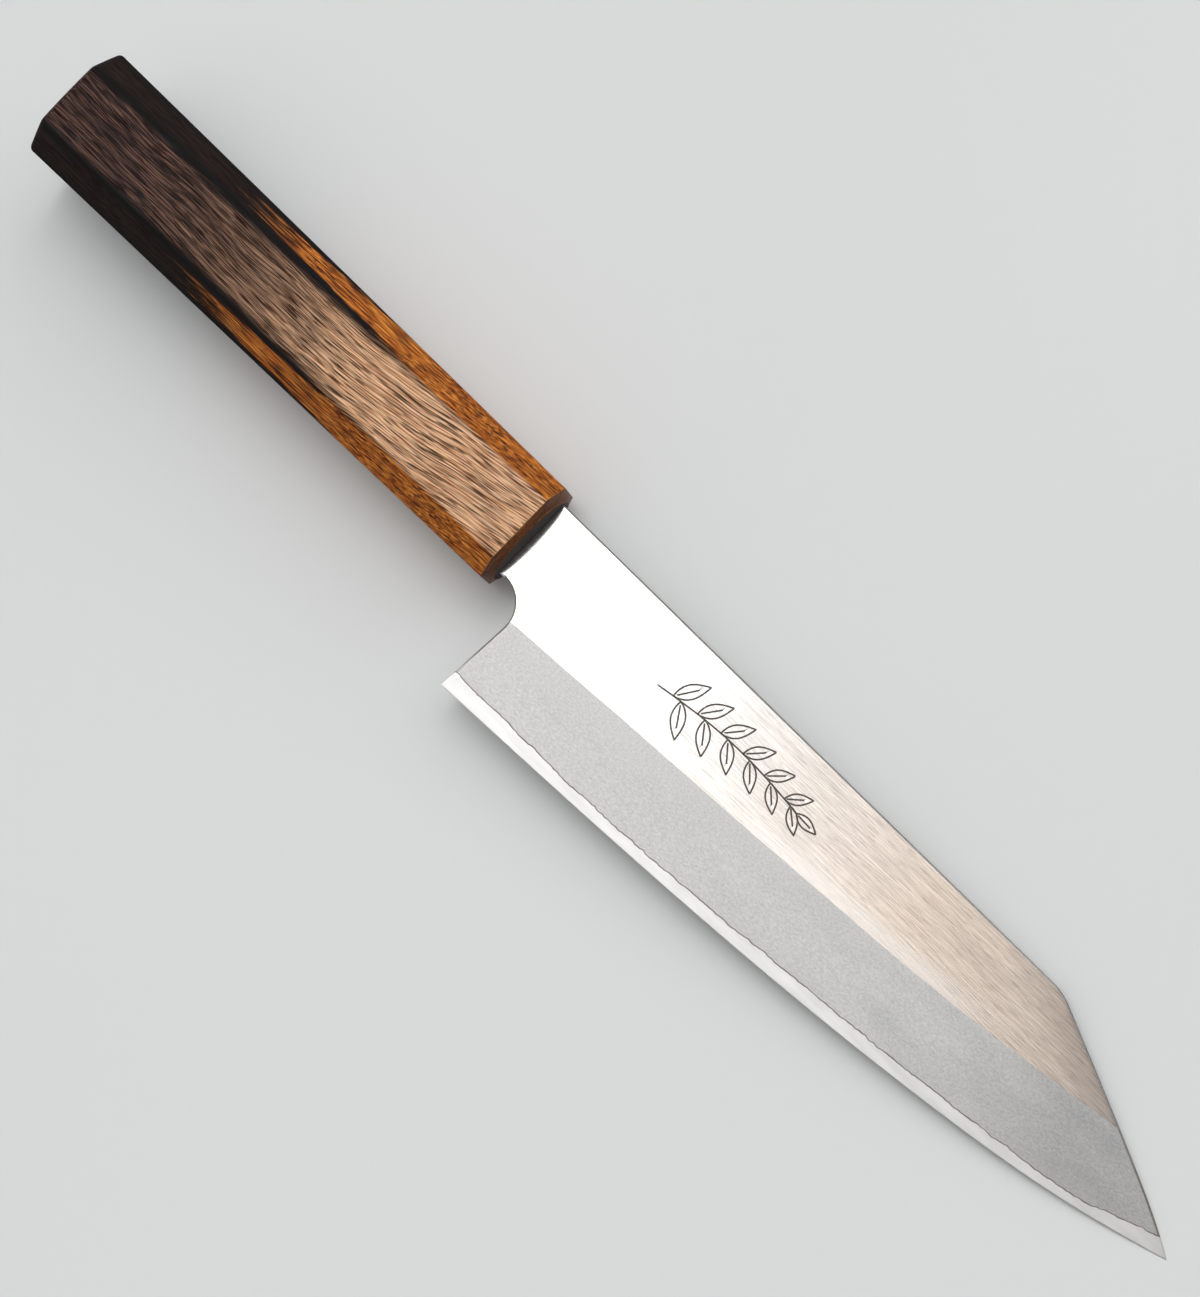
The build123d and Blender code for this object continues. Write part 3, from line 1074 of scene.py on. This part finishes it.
def open_pores(s, grain):
    """Where the oak's pores are open, from 0 to 1."""
    large = dashes(s, grain, 12.0, 0.95, 0.03, 0.30, (0, 0, 0))
    middling = dashes(s, grain, 5.0, 0.62, 0.08, 0.42, (7, 3, 2))
    thread = s.ramp(s.noise(grain, (7.0, 0.22, 0.22), 1, 0.5, (1, 5, 3)), [(0.58, 0.0), (0.62, 1.0)])
    return s.greatest(large, s.times(middling, 0.85), s.times(thread, 0.95))


def burnt_oak():
    """The handle's long sides: oiled oak, charred towards the butt, with open dark pores, a partly painted
    sheen on the broad faces and painted shade on the charred arrises.
    """
    s = Material("burnt_oak")
    p = s.knife()
    x, y, z = s.split(p)
    grain = bent_grain(s, p, x, y, z)
    streak = s.noise(grain, (9, 0.42, 0.42), 4, 0.66)
    broad = s.noise(grain, (48, 2.4, 2.4), 2, 0.5, (5, 2, 1))
    fibre = s.noise(grain, (6.5, 0.19, 0.19), 1, 0.5, (4, 2, 6))
    figure = s.plus(s.times(streak, 0.5), s.times(fibre, 0.5))
    pore = open_pores(s, grain)

    # how far the char has come: further along the arrises, and with a soft end on the broad sides
    arris = s.node("ShaderNodeAttribute", attribute_name="arris").outputs["Fac"]
    on_arris = s.range(arris, 0.0, 1.7, 1.0, 0.0)
    broad_face = s.range(s.math("ABSOLUTE", y), 7.3, 7.9, 1.0, 0.0)
    mottle = s.plus(s.times(s.minus(streak, 0.5), 52.0), s.times(s.minus(broad, 0.5), 24.0))
    place = s.plus(s.minus(x, s.times(on_arris, ARRIS_LEAD)), mottle)
    side_bare = s.range(place, *SIDE_CHAR)
    face_bare = s.range(place, *FACE_CHAR, kind="LINEAR")
    face_bare = s.ramp(face_bare, [(0.0, 0.0), (0.33, 0.07), (0.67, 0.32), (1.0, 1.0)])
    bare = s.plus(s.times(broad_face, s.minus(face_bare, side_bare)), side_bare)
    burnt = s.minus(1.0, bare)

    plain = s.ramp(figure, [
        (0.38, (0.10, 0.016, 0.003)),
        (0.45, (0.27, 0.058, 0.006)),
        (0.53, (0.54, 0.168, 0.020)),
        (0.62, (0.80, 0.32, 0.06)),
    ])
    bands = s.ramp(broad, [(0.3, (0.62, 0.52, 0.45)), (0.7, (1.0, 1.0, 1.0))])
    plain = s.mix(0.5, plain, bands, "MULTIPLY")
    # The broad faces are paler: partly a paler, rubbed-back finish, partly a painted sheen of the overhead
    # light.
    pale = s.ramp(fibre, [
        (0.34, (0.22, 0.10, 0.045)),
        (0.44, (0.65, 0.405, 0.22)),
        (0.62, (1.0, 0.78, 0.55)),
    ])
    plain = s.mix(s.times(broad_face, 0.52), plain, pale)
    charred = s.ramp(figure, [
        (0.38, (0.006, 0.005, 0.005)),
        (0.47, (0.022, 0.014, 0.013)),
        (0.54, (0.090, 0.046, 0.035)),
        (0.64, (0.17, 0.085, 0.06)),
    ])
    soot = s.minus(1.0, s.greatest(broad_face, 0.12))
    charred = s.mix(soot, charred, (0.006, 0.0035, 0.0025))
    # painted shade: the charred arrises a touch darker and bluer than the char round them, where the rounded
    # arrises catch no sheen
    charred = s.mix(on_arris, charred, (0.004, 0.004, 0.0045))
    wood = s.mix(burnt, plain, charred)
    wood = s.mix(s.times(pore, 0.92), wood, (0.012, 0.004, 0.003))

    rough = s.plus(s.range(streak, 0.35, 0.7, 0.36, 0.27, "LINEAR"), s.times(burnt, 0.3))
    rough = s.plus(rough, s.times(pore, 0.3))
    height = s.minus(s.times(streak, 0.4), s.times(pore, 0.8))
    return s.surface(Base_Color=wood, Roughness=rough, Specular_IOR_Level=WOOD_GLOSS,
                     Normal=s.bump(height, 0.08, 0.6))


def end_grain(name, light, dark, depth):
    """Oak cut across the grain: bands of growth, and rows of pores as dark dots."""
    s = Material(name)
    p = s.knife()
    bands = s.noise(p, (3, 5.0, 0.45), 2, 0.6)
    flecks = s.noise(p, (2.0, 0.33, 0.33), 2, 0.6)
    dots = s.cells(p, (4, 0.5, 0.42)).outputs["Distance"]
    wood = s.mix(s.ramp(bands, [(0.35, 0.0), (0.65, 1.0)]), dark, light)
    wood = s.mix(s.ramp(flecks, [(0.5, 0.0), (0.64, 0.75)]), wood, tuple(c * 0.5 for c in dark))
    wood = s.mix(s.ramp(dots, [(0.14, 0.9), (0.3, 0.0)]), wood, tuple(c * 0.2 for c in dark))
    return s.surface(Base_Color=wood, Roughness=0.5, Specular_IOR_Level=END_GRAIN_GLOSS,
                     Normal=s.bump(s.minus(dots, flecks), depth, 0.6))


def pale_floor():
    """A plain pale table top."""
    s = Material("pale_floor")
    place = s.node("ShaderNodeTexCoord").outputs["Object"]
    cloud = s.noise(place, (0.35, 0.35, 0.35), 2, 0.5)
    tint = s.ramp(cloud, [(0.3, (0.68, 0.69, 0.69)), (0.7, (0.71, 0.72, 0.72))])
    return s.surface(Base_Color=tint, Roughness=0.8, Specular_IOR_Level=0.2)


# ---------------------------------------------------------------------------------------------
# The knife

# the eased edges of spine and choil, and the plies' hidden faces; their dark steel colour is painted shade,
# for the dark line along the spine's outline
blade_rim = mottled("blade_rim", (0.25, 1.2, 1.2), (0.20, 0.185, 0.175), (0.31, 0.29, 0.28), depth=0.01,
                    Metallic=1.0, Roughness=0.34)
# the thin dark line where the plies are welded
weld_mark = mottled("weld_mark", (0.8, 0.3, 0.3), (0.10, 0.082, 0.075), (0.24, 0.21, 0.195), detail=2,
                    Metallic=0.8, Roughness=0.55)
# the dark floor of the engraved grooves
engraving = mottled("engraving", (0.3, 0.3, 0.3), (0.05, 0.04, 0.035), (0.15, 0.13, 0.115), detail=2,
                    Metallic=0.4, Roughness=0.6)
# the edge's own narrow bevel, and the core's rim
honed_edge = mottled("honed_edge", (0.12, 1, 1), (0.66, 0.65, 0.64), (0.82, 0.81, 0.80), detail=2,
                     depth=0.006, Metallic=1.0, Roughness=0.28)
seal_resin = mottled("seal_resin", (1.5, 1.5, 1.5), (0.012, 0.009, 0.007), (0.04, 0.028, 0.02), depth=0.05,
                     strength=0.4, Roughness=0.32)
cured_epoxy = mottled("cured_epoxy", (2, 2, 2), (0.42, 0.33, 0.19), (0.55, 0.46, 0.30), depth=0.08,
                      strength=0.4, Roughness=0.4)

steel = [brushed_flat(), matte_bevel(), blade_rim, weld_mark, engraving]
cladding(1, "upper_cladding", "cladding_upper", steel, sprig())
cladding(-1, "lower_cladding", "cladding_lower", steel)
core([polished_core(), honed_edge, blade_rim])
handle([
    burnt_oak(),
    end_grain("oak_front_ease", (0.27, 0.095, 0.022), (0.12, 0.035, 0.009), 0.12),
    # the front face's dark colour: burnt, oiled end grain, and partly painted shade of the face
    end_grain("oak_front_face", (0.060, 0.045, 0.032), (0.022, 0.015, 0.010), 0.08),
    end_grain("oak_butt_end", (0.035, 0.014, 0.009), (0.010, 0.006, 0.005), 0.1),
    end_grain("oak_bore", (0.4, 0.22, 0.1), (0.2, 0.1, 0.04), 0.1),
])
mouth_seal([seal_resin])
glue = frame["nodes"]["tang_adhesive"]
glue.data.materials.clear()
glue.data.materials.append(cured_epoxy)

# ---------------------------------------------------------------------------------------------
# Stage, lights and camera

FLOOR_SIZE = 8.0

WINDOW_RADIANCE = 9.0
# The bright overhead window: how bright it is by its slope from the vertical, towards the tip
WINDOW_FADE = [
    (-0.48, 0.0), (-0.40, 0.10), (-0.35, 0.3), (-0.30, 0.75), (-0.25, 1.0), (-0.19, 1.0), (-0.15, 0.55),
    (-0.11, 0.17), (-0.087, 0.10), (-0.052, 0.085), (0.0, 0.080), (0.035, 0.056), (0.073, 0.036),
    (0.12, 0.012), (0.18, 0.0),
]
WINDOW_SIDES = (-0.24, 0.02, 0.45, 0.9)     # starts, is full, starts to fade and ends, towards the spine
HORIZON, ZENITH = 0.20, 0.60                # the room's brightness
ROOM_TILT = 1.6                             # how much brighter the room is behind the handle than ahead
ROOM_LEAST = 0.3                            # the share of its brightness that the room keeps ahead

KEY_PLACE = (0.15, 1.5, 1.2)
KEY_SIZE = (2.0, 1.3)
KEY_RADIANCE = 1.3

CAMERA_AIM = Vector((25.3, -6.0, 0.0))      # on the knife's own axes, mm
CAMERA_DISTANCE = 599.0
CAMERA_TILT = (9.52, -0.09)                 # degrees towards the tip, and sideways
CAMERA_TURN = 44.0                          # degrees that the knife lies turned in the picture
SENSOR = 36.0
FOCAL_LENGTH = 83.27


def pale_table():
    """The floor, as one square."""
    half = FLOOR_SIZE / 2
    corners = [(-half, -half, 0), (half, -half, 0), (half, half, 0), (-half, half, 0)]
    mesh = bpy.data.meshes.new("floor")
    mesh.from_pydata(corners, [], [(0, 1, 2, 3)])
    mesh.materials.append(pale_floor())
    floor = bpy.data.objects.new("floor", mesh)
    bpy.context.scene.collection.objects.link(floor)


def studio_world():
    """A soft white room with a bright, soft-edged window overhead."""
    world = bpy.data.worlds.new("studio")
    world.use_nodes = True
    s = Nodes(world.node_tree)
    x, y, z = s.split(s.node("ShaderNodeTexCoord").outputs["Generated"])
    room = s.range(z, 0.0, 1.0, HORIZON, ZENITH, "LINEAR")
    room = s.times(room, s.greatest(s.minus(1.0, s.times(x, ROOM_TILT)), ROOM_LEAST))
    up = s.greatest(z, 0.05)
    along, across = s.math("DIVIDE", x, up), s.math("DIVIDE", y, up)
    first, last = WINDOW_FADE[0][0], WINDOW_FADE[-1][0]
    place = s.range(along, first, last, kind="LINEAR")
    glow = s.ramp(place, [((u - first) / (last - first), share) for u, share in WINDOW_FADE])
    start, full, fading, end = WINDOW_SIDES
    sides = s.times(s.range(across, start, full), s.range(across, fading, end, 1.0, 0.0))
    glow = s.times(s.times(glow, sides), WINDOW_RADIANCE)
    glow = s.times(glow, s.range(z, 0.05, 0.3))
    background = s.tree.nodes["Background"]
    s.feed(background.inputs[0], (1, 1, 1, 1))
    s.feed(background.inputs[1], s.plus(room, glow))
    return world


def key_light():
    """A large soft light on the spine's side, aimed at the frame's origin."""
    light = bpy.data.lights.new("key", "AREA")
    light.shape = "RECTANGLE"
    light.size, light.size_y = KEY_SIZE
    light.energy = KEY_RADIANCE * math.pi * KEY_SIZE[0] * KEY_SIZE[1]
    lamp = bpy.data.objects.new("key", light)
    lamp.location = KEY_PLACE
    lamp.rotation_euler = (-Vector(KEY_PLACE)).to_track_quat("-Z", "Y").to_euler()
    bpy.context.scene.collection.objects.link(lamp)


def product_camera():
    """The camera over the blade, at the photograph's angle."""
    data = bpy.data.cameras.new("camera")
    data.sensor_width = SENSOR
    data.lens = FOCAL_LENGTH
    camera = bpy.data.objects.new("camera", data)
    tilt, sideways = (math.radians(angle) for angle in CAMERA_TILT)
    look = Matrix.Rotation(tilt, 3, "Y") @ Matrix.Rotation(sideways, 3, "X")
    look = knife_turn @ look @ Matrix.Rotation(math.radians(CAMERA_TURN), 3, "Z")
    aim = knife_origin + knife_turn @ (CAMERA_AIM * MM)
    place = aim + look @ Vector((0, 0, CAMERA_DISTANCE * MM))
    camera.matrix_world = Matrix.Translation(place) @ look.to_4x4()
    bpy.context.scene.collection.objects.link(camera)
    return camera


pale_table()
bpy.context.scene.world = studio_world()
key_light()
bpy.context.scene.camera = product_camera()
bpy.context.scene.view_settings.view_transform = "Standard"
